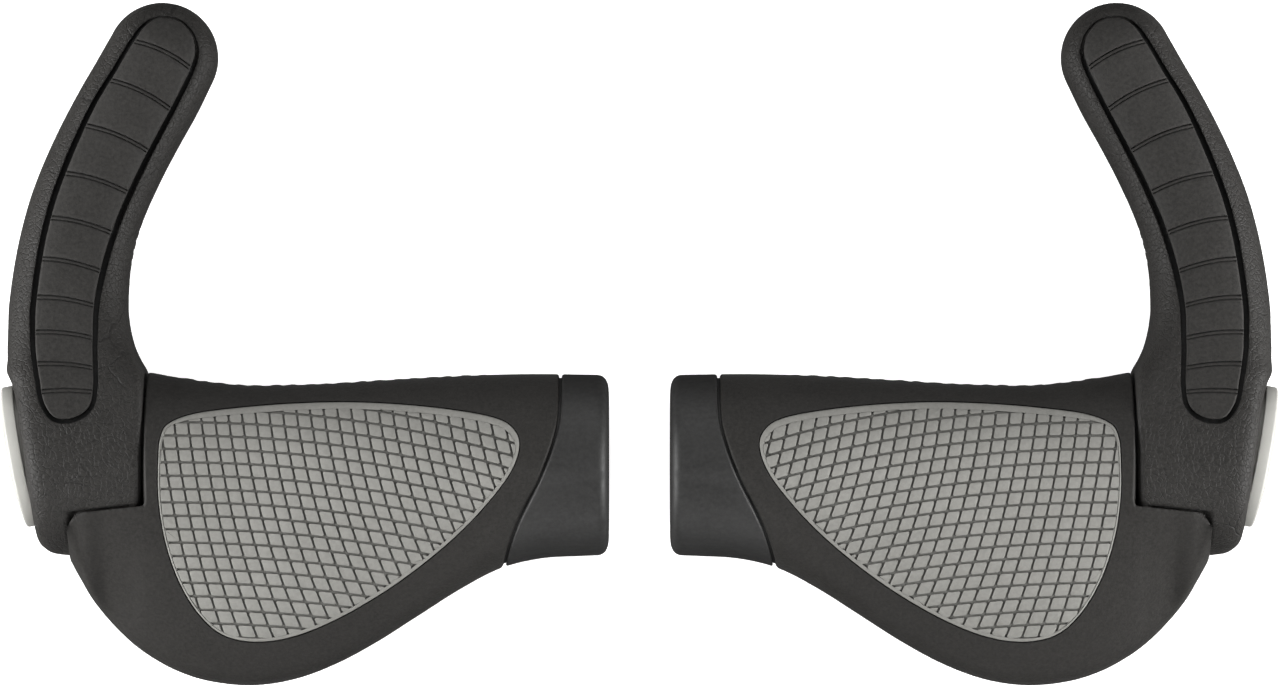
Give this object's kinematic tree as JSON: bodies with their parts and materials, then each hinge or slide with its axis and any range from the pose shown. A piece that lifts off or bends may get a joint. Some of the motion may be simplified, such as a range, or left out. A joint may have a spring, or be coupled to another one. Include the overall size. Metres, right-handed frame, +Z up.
{
  "type": "handlebar grips with bar ends",
  "caption": "Pair of winged palm grips for a handlebar, each with a curved forward-pointing bar end clamped by a split ring that tilts about the bar.",
  "frame": {"origin": "middle of the pair's footprint, on the plane that it lies on", "axes": "+X along the handlebar towards the right-hand grip's bar end, +Y forwards, the way the bar ends point, +Z up"},
  "size_m": [0.2424, 0.1302, 0.0353],
  "materials": {
    "core_plastic": "satin moulded nylon",
    "grip_rubber": "fine-grained matte rubber",
    "pad_rubber": "matte grey rubber with raised blocks",
    "forged_ring": "bead-blasted",
    "bolt_steel": "black oxide",
    "washer_steel": "zinc plated",
    "horn_plastic": "glass-filled nylon",
    "horn_skin": "soft-touch skin",
    "inlay_rubber": "ribbed matte rubber",
    "cap_plastic": "fine satin",
    "badge_plastic": "smooth satin"
  },
  "bodies": {
    "left_grip": {"left_grip_core": "core_plastic", "left_grip_cover": "grip_rubber", "left_grip_pad": "pad_rubber"},
    "left_bar_end": {"left_clamp_ring": "forged_ring", "left_bolt_washer": "washer_steel", "left_horn_core": "horn_plastic", "left_horn_cover": "horn_skin", "left_thumb_pad": "inlay_rubber", "left_finger_pad": "inlay_rubber", "left_end_cap": "cap_plastic", "left_cap_badge": "badge_plastic"},
    "left_bolt": {"left_clamp_bolt": "bolt_steel"},
    "right_grip": {"right_grip_core": "core_plastic", "right_grip_cover": "grip_rubber", "right_grip_pad": "pad_rubber"},
    "right_bar_end": {"right_clamp_ring": "forged_ring", "right_bolt_washer": "washer_steel", "right_horn_core": "horn_plastic", "right_horn_cover": "horn_skin", "right_thumb_pad": "inlay_rubber", "right_finger_pad": "inlay_rubber", "right_end_cap": "cap_plastic", "right_cap_badge": "badge_plastic"},
    "right_bolt": {"right_clamp_bolt": "bolt_steel"}
  },
  "joints": [
    {"name": "right_grip_slide", "type": "slide", "parent": "left_grip", "child": "right_grip", "axis": [1, 0, 0], "range_m": [0, 0.5]},
    {"name": "left_bar_end_tilt", "type": "hinge", "parent": "left_grip", "child": "left_bar_end", "pos_m": [-0.1035, -0.02306, 0.0177], "axis": [1, 0, 0], "range_deg": [-20, 25]},
    {"name": "left_bolt_turn", "type": "hinge", "parent": "left_bar_end", "child": "left_bolt", "pos_m": [-0.1035, -0.00346, 0], "axis": [0, 0, -1], "range_deg": [0, 720]},
    {"name": "right_bar_end_tilt", "type": "hinge", "parent": "right_grip", "child": "right_bar_end", "pos_m": [0.1035, -0.02306, 0.0177], "axis": [1, 0, 0], "range_deg": [-20, 25]},
    {"name": "right_bolt_turn", "type": "hinge", "parent": "right_bar_end", "child": "right_bolt", "pos_m": [0.1035, -0.00346, 0], "axis": [0, 0, -1], "range_deg": [0, 720]}
  ]
}
